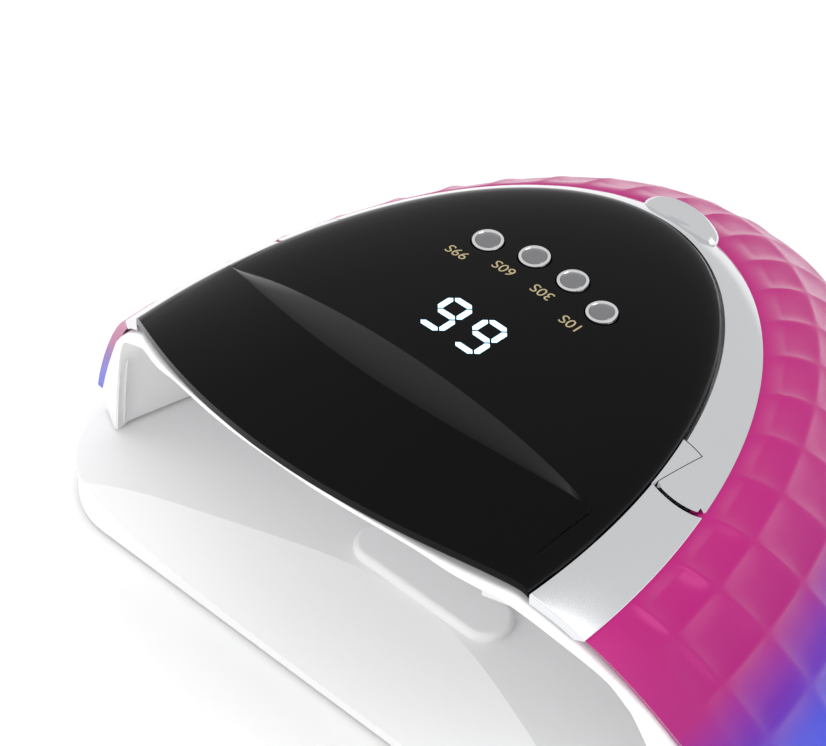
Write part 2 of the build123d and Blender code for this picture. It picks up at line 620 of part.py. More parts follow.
with BuildPart() as led_boards_side:
    for angle in SIDE_ANGLES:
        for y in SIDE_ROWS:
            skin, away = arch_place(y, angle)
            with BuildSketch(Plane(skin + away * SIDE_BEAD, x_dir=(0, 1, 0), z_dir=away)):
                RectangleRounded(13, 11, 2)
            extrude(amount=1.2)
save(led_boards_side, "led_boards_side")

# ---------------------------------------------------------------- sensor and power inlet
with BuildPart() as sensor_windows:
    for x in SENSORS_X:
        add(upright(x, SENSOR_Y, SENSOR_Z, SENSOR_Z + 5, SENSOR_RADIUS))
    fillet(sensor_windows.edges().group_by(Axis.Z)[0], 0.8)
save(sensor_windows, "sensor_windows")

with BuildPart() as dc_jack:
    with BuildSketch(Plane((0, JACK_Y[0], JACK_Z), x_dir=(1, 0, 0), z_dir=(0, 1, 0))):
        Circle(JACK_RADIUS)
    extrude(amount=JACK_Y[1] - JACK_Y[0])
    with BuildSketch(Plane((0, JACK_Y[1] - JACK_BORE_DEPTH, JACK_Z), x_dir=(1, 0, 0), z_dir=(0, 1, 0))):
        Circle(JACK_BORE)
    extrude(amount=JACK_BORE_DEPTH, mode=Mode.SUBTRACT)
    with BuildSketch(Plane((0, JACK_Y[0] + 1, JACK_Z), x_dir=(1, 0, 0), z_dir=(0, 1, 0))):
        Circle(JACK_PIN)
    extrude(amount=JACK_Y[1] - JACK_Y[0] - 2.5)
    for x in (-2.5, 2.5):
        add(block(x - 0.9, x + 0.9, JACK_Y[0] - 4, JACK_Y[0] + 0.5, JACK_Z - 0.3, JACK_Z + 0.3))
save(dc_jack, "dc_jack")
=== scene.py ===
import json
from math import asin, atan2, cos, pi, radians, sin, sqrt

import bmesh
import bpy
from mathutils import Matrix, Vector


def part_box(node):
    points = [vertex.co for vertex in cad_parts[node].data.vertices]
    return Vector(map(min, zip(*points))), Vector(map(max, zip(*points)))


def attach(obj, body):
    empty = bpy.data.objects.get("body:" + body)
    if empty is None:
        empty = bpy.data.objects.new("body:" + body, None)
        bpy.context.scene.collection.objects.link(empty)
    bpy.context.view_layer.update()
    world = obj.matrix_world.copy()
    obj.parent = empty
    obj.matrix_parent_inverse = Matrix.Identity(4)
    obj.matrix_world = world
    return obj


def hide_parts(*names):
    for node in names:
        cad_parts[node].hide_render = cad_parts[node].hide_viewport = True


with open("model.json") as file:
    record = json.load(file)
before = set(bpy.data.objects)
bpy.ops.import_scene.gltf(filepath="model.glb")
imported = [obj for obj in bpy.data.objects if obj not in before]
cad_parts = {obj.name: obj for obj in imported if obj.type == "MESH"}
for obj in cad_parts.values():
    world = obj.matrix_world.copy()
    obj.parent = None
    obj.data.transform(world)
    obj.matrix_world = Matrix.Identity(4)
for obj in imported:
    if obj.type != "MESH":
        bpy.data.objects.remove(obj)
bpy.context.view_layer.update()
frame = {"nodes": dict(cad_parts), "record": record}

MM = 0.001

# ---------------------------------------------------------------- the lamp's dimensions, mm
# They follow the CAD, except for the depth of the handle's tip and the rounded shoulder and cheek.
HALF_WIDTH, FRONT_RIM_Y, CENTRE_Y, REAR_Y = 113.0, -97.5, -75.0, 97.5
BODY_Z = 12.6
BAND_HALF, BAND_Z, BAND_SLOPE = (75.2, 121.0), 71.5, 0.0275
PANEL_HALF, PANEL_Z, PANEL_SLOPE, CROWN = (63.5, 111.0), 83.0, -0.0153, 10.9
SIDE_BULGE, REAR_BULGE = 1.12, 1.5
FRONT_RADIUS, FRONT_ARC_HALF = 128.0, 62.0
SHELL_WALL, PANEL_WALL = 2.6, 2.2
TIP_X, TIP_Y, TIP_CORNER = 59.0, -24.0, 10.0
HANDLE_THICK, TRIM_THICK = 6.0, 3.2
PIVOT, TIP_RADIUS, TIP_UNDERSIDE = (-27.0, 77.0), 7.7, 74.2
TIP_INNER_X, CORNER_GAP = 59.8, 0.9
CHEEK_X, CHEEK_FRONT, CHEEK_BACK = 59.65, -35.4, -17.0
SHOULDER_RADIUS, CHEEK_RADIUS = 9.6, 9.35    # the handle's shoulder turns round the cheek's rounded back end
SKIN_INSET = 0.06           # keeps the shell's skin inside the CAD's box
TIP_ARC = (126, 234)        # degrees of the handle's rounded tip about its pivot
BAND_CROWN, BAND_EDGE, PANEL_EDGE = 0.5, 0.012, 0.985    # edges as shares of the band's width
RIM_OVERLAP = 0.4           # how far the band reaches down past the shell's rim
HANDLE_INNER = 0.925        # inner edge of the handle, as a share of the band's width
BUTTONS = {"button_10s": 18.4, "button_30s": 6.2, "button_60s": -6.2, "button_99s": -18.4}
BUTTON_RADIUS, BUTTON_HOLE, FACE_RADIUS = 4.0, 4.25, 2.95
DISPLAY_Y = -34.8
VISOR_HALF, VISOR_SPAN, VISOR_END = 60.0, 59.0, 58.9
CREST_Y, CREST_BOW, FOOT_Y, FOOT_BOW = -67.0, 12.6, -51.5, 3.0
APRON_RISE, APRON_SLOPE, APRON_POWER = 1.25, 0.112, 2.2
BISECTIONS = 50             # halvings when a crossing is searched for


def band_z(y):
    return BAND_Z + BAND_SLOPE * (y - CENTRE_Y)


def rim_z(y):
    return PANEL_Z + PANEL_SLOPE * (y - CENTRE_Y)


def mouth_y(x):
    """The bowed front edge of the lamp head in plan, straight beyond the bow."""
    reach = min(abs(x), FRONT_ARC_HALF)
    y = FRONT_RIM_Y + FRONT_RADIUS - sqrt(FRONT_RADIUS**2 - reach**2)
    slope = FRONT_ARC_HALF / sqrt(FRONT_RADIUS**2 - FRONT_ARC_HALF**2)
    return y + slope * (abs(x) - reach)


def panel_skin(x, y):
    spread = 1 - (x / PANEL_HALF[0]) ** 2 - (max(0.0, y - CENTRE_Y) / PANEL_HALF[1]) ** 2
    return rim_z(y) + CROWN * sqrt(max(0.0, spread))


def button_y(x):
    return -3.3 - 0.011 * x * x


# ---------------------------------------------------------------- mesh helpers
def new_object(name, verts, faces, smooth=True):
    mesh = bpy.data.meshes.new(name)
    mesh.from_pydata([(x * MM, y * MM, z * MM) for x, y, z in verts], [], faces)
    mesh.validate()
    mesh.update()
    obj = bpy.data.objects.new(name, mesh)
    bpy.context.scene.collection.objects.link(obj)
    for poly in mesh.polygons:
        poly.use_smooth = smooth
    return obj


def sharpen(obj, angle=35):
    """Marks edges sharper than an angle, so broad surfaces shade smoothly and corners stay crisp."""
    obj.data.set_sharp_from_angle(angle=radians(angle))


def bevel(obj, width, segments=3, angle=35):
    mod = obj.modifiers.new("bevel", "BEVEL")
    mod.width, mod.segments, mod.limit_method = width * MM, segments, "ANGLE"
    mod.angle_limit = radians(angle)
    mod.harden_normals = True


def slab(name, top, bottom):
    """Closed solid between two matching grids of points, rows by columns."""
    rows, cols = len(top), len(top[0])
    verts = [p for row in top for p in row] + [p for row in bottom for p in row]
    low = rows * cols
    faces = []
    for r in range(rows - 1):
        for c in range(cols - 1):
            a, b = r * cols + c, r * cols + c + 1
            d, e = a + cols, b + cols
            faces.append((a, b, e, d))
            faces.append((low + a, low + d, low + e, low + b))
    rim = list(range(cols)) + [r * cols + cols - 1 for r in range(1, rows)]
    rim += [(rows - 1) * cols + c for c in range(cols - 2, -1, -1)]
    rim += [r * cols for r in range(rows - 2, 0, -1)]
    for a, b in zip(rim, rim[1:] + rim[:1]):
        faces.append((a, low + a, low + b, b))
    return new_object(name, verts, faces)


def fix_normals(obj):
    """Turns every face outward."""
    bm = bmesh.new()
    bm.from_mesh(obj.data)
    bmesh.ops.recalc_face_normals(bm, faces=bm.faces)
    bm.to_mesh(obj.data)
    bm.free()


def lathe(name, centre, profile, turns=64):
    """Closed solid of revolution about Z from (radius, height) pairs, first and last on the axis."""
    verts, faces = [], []
    ring_start = []
    for radius, height in profile:
        ring_start.append(len(verts))
        count = 1 if radius == 0 else turns
        for k in range(count):
            angle = 2 * pi * k / turns
            x, y = centre[0] + radius * cos(angle), centre[1] + radius * sin(angle)
            verts.append((x, y, centre[2] + height))
    for i in range(len(profile) - 1):
        a, b = ring_start[i], ring_start[i + 1]
        for k in range(turns):
            n = (k + 1) % turns
            if profile[i][0] == 0:
                faces.append((a, b + k, b + n))
            elif profile[i + 1][0] == 0:
                faces.append((a + k, a + n, b))
            else:
                faces.append((a + k, a + n, b + n, b + k))
    obj = new_object(name, verts, faces)
    fix_normals(obj)
    sharpen(obj, 40)
    return obj


# ---------------------------------------------------------------- materials
SLOW_GRAIN = 0.04           # scale of the roughness's slow change, as a share of the grain's
MOTTLE_SCALE = 22
COAT_ROUGHNESS = 0.04
TINT_FOOT, TINT_TOP, TINT_WANDER_SCALE, TINT_WANDER = 0.013, 0.073, 14, 0.16
TINT_STOPS = [(0.0, (0.006, 0.09, 0.72)), (0.28, (0.03, 0.05, 0.56)), (0.46, (0.13, 0.004, 0.34)),
              (0.66, (0.36, 0.0, 0.16)), (1.0, (0.42, 0.0, 0.16))]
# painted sheen: the pale pink mixed into the shell's colour where it is seen edge on, and the Layer Weight
# blend that sets how far in from the edge it reaches
PAINTED_SHEEN, PAINTED_SHEEN_BLEND = (0.9, 0.45, 0.62, 1), 0.04


def material(name):
    mat = bpy.data.materials.new(name)
    mat.use_nodes = True
    tree = mat.node_tree
    return mat, tree, tree.nodes["Principled BSDF"]


def add_grain(tree, shader, scale, strength, distance, rough_low, rough_high):
    """Fine bump and a slow change of roughness."""
    coords = tree.nodes.new("ShaderNodeTexCoord")
    fine = tree.nodes.new("ShaderNodeTexNoise")
    fine.inputs["Scale"].default_value = scale
    fine.inputs["Detail"].default_value = 3
    bump = tree.nodes.new("ShaderNodeBump")
    bump.inputs["Strength"].default_value = strength
    bump.inputs["Distance"].default_value = distance
    slow = tree.nodes.new("ShaderNodeTexNoise")
    slow.inputs["Scale"].default_value = scale * SLOW_GRAIN
    spread = tree.nodes.new("ShaderNodeMapRange")
    spread.inputs["To Min"].default_value = rough_low
    spread.inputs["To Max"].default_value = rough_high
    tree.links.new(coords.outputs["Object"], fine.inputs["Vector"])
    tree.links.new(coords.outputs["Object"], slow.inputs["Vector"])
    tree.links.new(fine.outputs["Fac"], bump.inputs["Height"])
    tree.links.new(slow.outputs["Fac"], spread.inputs["Value"])
    tree.links.new(spread.outputs["Result"], shader.inputs["Roughness"])
    tree.links.new(bump.outputs["Normal"], shader.inputs["Normal"])


def plastic(name, colour, rough, grain=900, strength=0.05, coat=0.0, metallic=0.0, variation=0.04,
            specular=0.5):
    """Moulded plastic, metal or rubber with mottled colour, fine grain and uneven roughness."""
    mat, tree, shader = material(name)
    shader.inputs["Specular IOR Level"].default_value = specular
    shader.inputs["Metallic"].default_value = metallic
    shader.inputs["Coat Weight"].default_value = coat
    shader.inputs["Coat Roughness"].default_value = COAT_ROUGHNESS
    coords = tree.nodes.new("ShaderNodeTexCoord")
    mottle = tree.nodes.new("ShaderNodeTexNoise")
    mottle.inputs["Scale"].default_value = MOTTLE_SCALE
    ramp = tree.nodes.new("ShaderNodeValToRGB")
    ramp.color_ramp.elements[0].color = (*[c * (1 - variation) for c in colour], 1)
    ramp.color_ramp.elements[1].color = (*[min(1, c * (1 + variation)) for c in colour], 1)
    tree.links.new(coords.outputs["Object"], mottle.inputs["Vector"])
    tree.links.new(mottle.outputs["Fac"], ramp.inputs["Fac"])
    tree.links.new(ramp.outputs["Color"], shader.inputs["Base Color"])
    add_grain(tree, shader, grain, strength, 0.0002, rough[0], rough[1])
    return mat


def shell_material():
    """Gloss magenta that turns purple, then blue, towards the foot, with a painted pale-pink sheen mixed into
    its colour where it is seen edge on.
    """
    mat, tree, shader = material("shell_tint")
    coords = tree.nodes.new("ShaderNodeTexCoord")
    split = tree.nodes.new("ShaderNodeSeparateXYZ")
    height = tree.nodes.new("ShaderNodeMapRange")
    height.inputs["From Min"].default_value = TINT_FOOT
    height.inputs["From Max"].default_value = TINT_TOP
    wander = tree.nodes.new("ShaderNodeTexNoise")
    wander.inputs["Scale"].default_value = TINT_WANDER_SCALE
    shift = tree.nodes.new("ShaderNodeMath")
    shift.operation = "MULTIPLY_ADD"
    shift.inputs[1].default_value = TINT_WANDER
    ramp = tree.nodes.new("ShaderNodeValToRGB")
    elements = ramp.color_ramp.elements
    for element, (place, colour) in zip(elements, (TINT_STOPS[0], TINT_STOPS[-1])):
        element.position, element.color = place, (*colour, 1)
    for place, colour in TINT_STOPS[1:-1]:
        elements.new(place).color = (*colour, 1)
    tree.links.new(coords.outputs["Object"], split.inputs["Vector"])
    tree.links.new(coords.outputs["Object"], wander.inputs["Vector"])
    tree.links.new(split.outputs["Z"], height.inputs["Value"])
    tree.links.new(wander.outputs["Fac"], shift.inputs[0])
    tree.links.new(height.outputs["Result"], shift.inputs[2])
    tree.links.new(shift.outputs["Value"], ramp.inputs["Fac"])
    # painted sheen: Layer Weight mixes the shell's colour towards pale pink where it is seen edge on,
    # standing in for a glossy reflection
    painted_sheen_weight = tree.nodes.new("ShaderNodeLayerWeight")
    painted_sheen_weight.inputs["Blend"].default_value = PAINTED_SHEEN_BLEND
    painted_sheen_mix = tree.nodes.new("ShaderNodeMix")
    painted_sheen_mix.data_type = "RGBA"
    painted_sheen_mix.inputs["B"].default_value = PAINTED_SHEEN
    tree.links.new(painted_sheen_weight.outputs["Facing"], painted_sheen_mix.inputs["Factor"])
    tree.links.new(ramp.outputs["Color"], painted_sheen_mix.inputs["A"])
    tree.links.new(painted_sheen_mix.outputs["Result"], shader.inputs["Base Color"])
    shader.inputs["Metallic"].default_value = 0.1
    shader.inputs["Specular IOR Level"].default_value = 0.3
    add_grain(tree, shader, 700, 0.04, 0.0002, 0.18, 0.27)
    return mat


def glow(name, colour, strength):
    """Lit plastic, for the display's segments."""
    mat, tree, shader = material(name)
    shader.inputs["Base Color"].default_value = (*colour, 1)
    shader.inputs["Emission Color"].default_value = (*colour, 1)
    shader.inputs["Emission Strength"].default_value = strength
    add_grain(tree, shader, 1500, 0.05, 0.0001, 0.3, 0.45)
    return mat


MATERIALS = {
    "white_gloss": plastic("white_gloss", (0.88, 0.88, 0.885), (0.3, 0.33), 800, 0.02, 0.0, 0.0, 0.006),
    "foot_rubber": plastic("foot_rubber", (0.3, 0.3, 0.3), (0.75, 0.9), 2500, 0.4),
    "magnet_nickel": plastic("magnet_nickel", (0.66, 0.65, 0.63), (0.2, 0.35), 1800, 0.1, 0, 1.0),
    "shell_tint": shell_material(),
    "steel_zinc": plastic("steel_zinc", (0.6, 0.6, 0.62), (0.3, 0.45), 2200, 0.15, 0, 1.0),
    "panel_black": plastic("panel_black", (0.0015, 0.0015, 0.0018), (0.06, 0.1), 500, 0.004, 0.0, 0.0,
                           0.1, 0.1),
    "frame_white": plastic("frame_white", (0.78, 0.78, 0.78), (0.45, 0.6), 1500, 0.15),
    "trim_chrome": plastic("trim_chrome", (0.78, 0.79, 0.81), (0.1, 0.17), 600, 0.01, 0, 1.0, 0.02),
    "bush_nylon": plastic("bush_nylon", (0.75, 0.73, 0.68), (0.5, 0.65), 1500, 0.15),
    "board_green": plastic("board_green", (0.01, 0.16, 0.05), (0.35, 0.5), 1600, 0.1),
    "switch_black": plastic("switch_black", (0.02, 0.02, 0.021), (0.4, 0.55), 1800, 0.15),
    "display_black": plastic("display_black", (0.01, 0.012, 0.014), (0.15, 0.25), 900, 0.02),
    "button_chrome": plastic("button_chrome", (0.86, 0.87, 0.88), (0.08, 0.14), 900, 0.02, 0, 1.0, 0.03),
    "button_face": plastic("button_face", (0.3, 0.3, 0.31), (0.16, 0.26), 900, 0.03, 0, 1.0, 0.05),
    "board_aluminium": plastic("board_aluminium", (0.7, 0.7, 0.7), (0.4, 0.55), 1400, 0.1, 0, 0.3),
    "led_lens": plastic("led_lens", (0.72, 0.7, 0.8), (0.08, 0.16), 1200, 0.02, 0.6),
    "sensor_black": plastic("sensor_black", (0.02, 0.008, 0.015), (0.1, 0.2), 1200, 0.02, 0.4),
    "label_gold": plastic("label_gold", (0.5, 0.42, 0.24), (0.35, 0.5), 1500, 0.05, 0, 0.4),
    "digit_glow": glow("digit_glow", (0.55, 0.82, 0.98), 0.75),
}


def dress(obj, name):
    obj.data.materials.clear()
    obj.data.materials.append(MATERIALS[name])


def finish_piece(obj, body, slot_name, replaced=(), look=None):
    dress(obj, look or slot_name)
    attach(obj, body)
    if replaced:
        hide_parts(*replaced)


for entry in frame["record"]["subparts"]:
    node = frame["nodes"][entry["node"]]
    surface = MATERIALS[entry["material_slot"]]
    if not node.material_slots:
        node.data.materials.append(surface)
    for held in node.material_slots:
        held.material = surface


# ---------------------------------------------------------------- outer shell with its quilted skin
def shell_halves(share):
    side = (1 - share**SIDE_BULGE) ** (1 / SIDE_BULGE)
    rear = (1 - share**REAR_BULGE) ** (1 / REAR_BULGE)
    return (BAND_HALF[0] + (HALF_WIDTH - BAND_HALF[0]) * side - SKIN_INSET,
            BAND_HALF[1] + (REAR_Y - CENTRE_Y - BAND_HALF[1]) * rear - SKIN_INSET)


def first_angle(half_x, half_y):
    """Angle from +X at which an ellipse about CENTRE_Y crosses the mouth's edge."""
    low, high = -0.6, 0.9
    for _ in range(BISECTIONS):
        mid = (low + high) / 2
        y = CENTRE_Y + half_y * sin(mid)
        if y < mouth_y(half_x * cos(max(mid, 0.0))):
            low = mid
        else:
            high = mid
    return high


def shell_point(share, turn):
    """Point on the smooth shell: share 0 foot to 1 band, turn 0 right mouth edge to 1 left mouth edge."""
    half_x, half_y = shell_halves(share)
    start = first_angle(half_x, half_y)
    angle = start + (pi - 2 * start) * turn
    x = half_x * cos(angle) if 0 <= angle <= pi else half_x * (1 if angle < 0 else -1)
    y = CENTRE_Y + half_y * sin(angle)
    z = BODY_Z + (BAND_Z - BODY_Z) * share + BAND_SLOPE * share * (y - CENTRE_Y)
    return Vector((x, y, z))


QUILT_COLUMNS, QUILT_ROWS, QUILT_DEPTH, DIMPLE_POWER = 24, 4, 1.15, 2.6
MOUTH_BORDER, MOUTH_FADE, BAND_FADE = 0.55, 0.5, 0.4     # in columns, columns and rows of the quilting
SHELL_ROWS, SHELL_COLUMNS = 90, 560
ARC_STEPS, ARC_POWER = 400, 1.6         # samples of the section's length, closer towards the band
SHARE_TOP = 0.9995                      # just under the band, where the section turns level
SECTION_TURN = 0.3                      # where round the shell its section is measured


def quilt(share_along, turn):
    """Depth of the quilting: rounded-square dimples with a plain border at the mouth and the band."""
    u, v = turn * QUILT_COLUMNS, share_along * QUILT_ROWS
    du, dv = abs((u % 1) - 0.5) * 2, abs((v % 1) - 0.5) * 2
    well = (1 - du**DIMPLE_POWER) * (1 - dv**DIMPLE_POWER)
    edge = min(turn, 1 - turn) * QUILT_COLUMNS
    fade = min(1.0, max(0.0, (edge - MOUTH_BORDER) / MOUTH_FADE))
    fade *= min(1.0, max(0.0, (1 - share_along) * QUILT_ROWS / BAND_FADE))
    return QUILT_DEPTH * well * fade


def even_shares():
    """Shares from foot to band that lie evenly along the shell's section."""
    rows = SHELL_ROWS
    shares, total = [], [0.0]
    raw = [1 - (1 - k / ARC_STEPS) ** ARC_POWER for k in range(ARC_STEPS + 1)]
    line = [shell_point(min(s, SHARE_TOP), SECTION_TURN) for s in raw]
    for a, b in zip(line, line[1:]):
        total.append(total[-1] + (b - a).length)
    index = 0
    for r in range(rows + 1):
        goal = total[-1] * r / rows
        while index < ARC_STEPS - 1 and total[index + 1] < goal:
            index += 1
        step = (goal - total[index]) / max(1e-9, total[index + 1] - total[index])
        shares.append(min(SHARE_TOP, raw[index] + step * (raw[index + 1] - raw[index])))
    return shares


def build_shell():
    """Quilted shell with a smooth inner side."""
    rows, cols = SHELL_ROWS, SHELL_COLUMNS
    outer, inner = [], []
    smooth = [[shell_point(s, c / cols) for c in range(cols + 1)] for s in even_shares()]
    for r in range(rows + 1):
        out_row, in_row = [], []
        for c in range(cols + 1):
            here = smooth[r][c]
            along = smooth[r][min(cols, c + 1)] - smooth[r][max(0, c - 1)]
            up = smooth[min(rows, r + 1)][c] - smooth[max(0, r - 1)][c]
            normal = along.cross(up).normalized()
            if normal.dot(Vector((here.x, here.y - CENTRE_Y, 0))) < 0:
                normal = -normal
            out_row.append(tuple(here - normal * quilt(r / rows, c / cols)))
            inward = here - Vector((normal.x, normal.y, 0)).normalized() * SHELL_WALL
            in_row.append(tuple(inward))
        outer.append(out_row)
        inner.append(in_row)
    shell = slab("shell_skin", outer, inner)
    fix_normals(shell)
    sharpen(shell, 50)
    return shell


finish_piece(build_shell(), "head", "shell_tint", ["outer_shell"])


# ---------------------------------------------------------------- chrome band: two front trims and the handle
def band_point(angle, across):
    """Point on the band: across 0 at its outer edge, 1 at the panel's edge, slightly crowned between."""
    low = Vector((BAND_HALF[0] * cos(angle), CENTRE_Y + BAND_HALF[1] * sin(angle), 0))
    high = Vector((PANEL_HALF[0] * cos(angle), CENTRE_Y + PANEL_HALF[1] * sin(angle), 0))
    low.z, high.z = band_z(low.y), rim_z(high.y)
    outward = Vector((high.z - low.z, 0, 0)).length
    spot = low.lerp(high, across)
    side = Vector((low.x - high.x, low.y - high.y, 0)).normalized()
    lift = BAND_CROWN * 4 * across * (1 - across)
    normal = (side * outward + Vector((0, 0, (low - high).xy.length))).normalized()
    return spot + normal * lift


def tip_reach(x, y, corner):
    """Positive inside the handle's tip outline in plan."""
    x = abs(x)
    if y >= TIP_Y:
        return corner if x <= TIP_X + corner else TIP_X + corner - x
    if x <= TIP_X:
        return y - (TIP_Y - corner)
    return corner - sqrt((x - TIP_X) ** 2 + (y - TIP_Y) ** 2)


def crossing(test, across, low, high):
    """Angle between low, where test is negative on the band, and high, where it is positive."""
    for _ in range(45):
        mid = (low + high) / 2
        if test(band_point(mid, across)) < 0:
            low = mid
        else:
            high = mid
    return high


def band_strip(name, from_edge, to_edge, thick, cols, side=1, inner=PANEL_EDGE):
    """Band solid between two boundary angles, each a function of the place across."""
    rows = 14
    top, bottom = [], []
    for r in range(rows + 1):
        across = BAND_EDGE + (inner - BAND_EDGE) * r / rows
        start, end = from_edge(across), to_edge(across)
        top_row, low_row = [], []
        for c in range(cols + 1):
            spot = band_point(start + (end - start) * c / cols, across)
            top_row.append((side * spot.x, spot.y, spot.z))
            low_row.append((side * spot.x, spot.y, max(spot.z - thick, band_z(spot.y) - RIM_OVERLAP)))
        top.append(top_row)
        bottom.append(low_row)
    strip = slab(name, top, bottom)
    fix_normals(strip)
    sharpen(strip, 35)
    bevel(strip, 0.35)
    return strip


def mouth_angle(across):
    return crossing(lambda p: p.y - mouth_y(p.x), across, -0.2, 1.0)


def tip_angle(corner):
    return lambda across: crossing(lambda p: tip_reach(p.x, p.y, corner), across, 0.0, 1.2)


def prism(name, axis, low, high, outline):
    """Closed prism along X (axis 0) or Z (axis 2) between two stations."""
    place = {0: lambda w, p: (w, p[0], p[1]), 2: lambda w, p: (p[0], p[1], w)}[axis]
    count = len(outline)
    verts = [place(low, p) for p in outline] + [place(high, p) for p in outline]
    faces = [tuple(range(count)), tuple(range(2 * count - 1, count - 1, -1))]
    faces += [(k, (k + 1) % count, count + (k + 1) % count, count + k) for k in range(count)]
    solid = new_object(name, verts, faces, smooth=False)
    fix_normals(solid)
    return solid


def carve(obj, cutter):
    """Takes cutter's space out of obj for good and drops the cutter."""
    mod = obj.modifiers.new("carve", "BOOLEAN")
    mod.object, mod.operation, mod.solver = cutter, "DIFFERENCE", "EXACT"
    bpy.context.view_layer.update()
    graph = bpy.context.evaluated_depsgraph_get()
    result = bpy.data.meshes.new_from_object(obj.evaluated_get(graph))
    obj.modifiers.remove(mod)
    obj.data = result
    bpy.data.objects.remove(cutter)


def pivot_arc(radius, start, end, step=3):
    """Points (y, z) on an arc about the handle's pivot, from one angle to another in degrees."""
    count = round(abs(end - start) / step)
    angles = [radians(start + (end - start) * k / count) for k in range(count + 1)]
    return [(PIVOT[0] + radius * cos(a), PIVOT[1] + radius * sin(a)) for a in angles]


CUT_HALF, CUT_TOP, CUT_FOOT, CUT_LOW = 90, 95, 55, 50    # how far the cutters reach past the band
CUT_FRONT, TIP_FRONT = -60, -50
trim_end = tip_angle(TIP_CORNER + CORNER_GAP)
handle_start = tip_angle(TIP_CORNER)


def cheek_strip(name, side):
    """Fixed cheek beside the panel that the handle's tip turns outside of."""
    rows, cols, narrowest = 6, 30, 0.01
    start, end = (asin((y - CENTRE_Y) / PANEL_HALF[1]) for y in (CHEEK_FRONT, CHEEK_BACK))
    top, bottom = [], []
    for r in range(rows + 1):
        top_row, low_row = [], []
        for c in range(cols + 1):
            angle = start + (end - start) * c / cols
            low, high = 0.0, PANEL_EDGE
            for _ in range(30):
                mid = (low + high) / 2
                low, high = (mid, high) if band_point(angle, mid).x > CHEEK_X else (low, mid)
            outer = min(high, PANEL_EDGE - narrowest)
            spot = band_point(angle, outer + (PANEL_EDGE - outer) * r / rows)
            top_row.append((side * spot.x, spot.y, spot.z))
            low_row.append((side * spot.x, spot.y, spot.z - TRIM_THICK))
        top.append(top_row)
        bottom.append(low_row)
    cheek = slab(name, top, bottom)
    fix_normals(cheek)
    behind = [(0, 60), (0, CUT_TOP)] + pivot_arc(CHEEK_RADIUS, 90, -90)
    carve(cheek, prism("cut_cheek", 0, -CUT_HALF, CUT_HALF, behind))
    sharpen(cheek, 35)
    return cheek


for side, label in ((-1, "left"), (1, "right")):
    trim = band_strip(f"trim_{label}", mouth_angle, trim_end, TRIM_THICK, 40, side)
    finish_piece(trim, "head", "trim_chrome", [f"front_trim_{label}"])
    finish_piece(cheek_strip(f"cheek_{label}", side), "head", "trim_chrome")

handle = band_strip("handle_band", handle_start, lambda across: pi - handle_start(across), HANDLE_THICK, 260,
                    inner=HANDLE_INNER)
handle.modifiers.clear()
beside_panel = pivot_arc(SHOULDER_RADIUS, -90, 90) + [(CUT_FRONT, CUT_TOP), (CUT_FRONT, CUT_FOOT)]
carve(handle, prism("cut_side", 0, -TIP_INNER_X, TIP_INNER_X, beside_panel))
under_tip = [(CUT_FRONT, CUT_LOW), (PIVOT[0], CUT_LOW), (PIVOT[0], TIP_UNDERSIDE), (CUT_FRONT, TIP_UNDERSIDE)]
carve(handle, prism("cut_under", 0, -CUT_HALF, CUT_HALF, under_tip))
round_tip = pivot_arc(TIP_RADIUS, *TIP_ARC)
before_tip = [(TIP_FRONT, CUT_TOP), (round_tip[0][0], CUT_TOP)] + round_tip
before_tip += [(round_tip[-1][0], CUT_FOOT), (TIP_FRONT, CUT_FOOT)]
carve(handle, prism("cut_round", 0, -CUT_HALF, CUT_HALF, before_tip))
sharpen(handle, 35)
bevel(handle, 0.08, 2)
finish_piece(handle, "handle", "trim_chrome", ["carry_handle"])


def build_tab():
    """Boat-shaped finger tab at the handle's back, scooped out along its middle."""
    half_x, half_y, centre_y, base, rise = 11.5, 5.4, 43.2, 74.9, 5.4
    edge_rise, middle_rise, scoop_deep, scoop_reach, sunk = 0.35, 0.55, 2.2, 0.72, 0.5
    rings, turns = 18, 96
    verts, faces = [(0, centre_y, base + rise * middle_rise)], []
    for ring in range(1, rings + 1):
        reach = ring / rings
        for k in range(turns):
            angle = 2 * pi * k / turns
            x, y = half_x * reach * cos(angle), half_y * reach * sin(angle)
            lens = 1 - reach**4
            scoop = scoop_deep * max(0.0, 1 - (reach / scoop_reach) ** 2)
            verts.append((x, centre_y + y, base + rise * (edge_rise + (1 - edge_rise) * lens) - scoop))
    for k in range(turns):
        faces.append((0, 1 + k, 1 + (k + 1) % turns))
    for ring in range(rings - 1):
        a, b = 1 + ring * turns, 1 + (ring + 1) * turns
        for k in range(turns):
            n = (k + 1) % turns
            faces.append((a + k, b + k, b + n, a + n))
    last = 1 + (rings - 1) * turns
    foot = len(verts)
    for k in range(turns):
        verts.append((verts[last + k][0], verts[last + k][1], base - sunk))
    for k in range(turns):
        n = (k + 1) % turns
        faces.append((last + k, foot + k, foot + n, last + n))
    faces.append(tuple(foot + k for k in range(turns - 1, -1, -1)))
    tab = new_object("handle_tab", verts, faces)
    fix_normals(tab)
    sharpen(tab, 45)
    return tab


finish_piece(build_tab(), "handle", "trim_chrome")


# ---------------------------------------------------------------- control panel with its visor
def apron_height(x, y):
    """The raised apron in front of the visor's brow."""
    fade = max(0.0, 1 - (abs(x) / VISOR_HALF) ** APRON_POWER)
    base = PANEL_Z + CROWN * sqrt(max(0.0, 1 - (x / PANEL_HALF[0]) ** 2))
    return base + fade * (APRON_RISE + APRON_SLOPE * (y - mouth_y(x) - (FRONT_RIM_Y - mouth_y(0))))


def crest_y(x):
    return CREST_Y + CREST_BOW * (x / VISOR_SPAN) ** 2


def foot_y(x):
    return FOOT_Y - FOOT_BOW * (x / VISOR_SPAN) ** 2


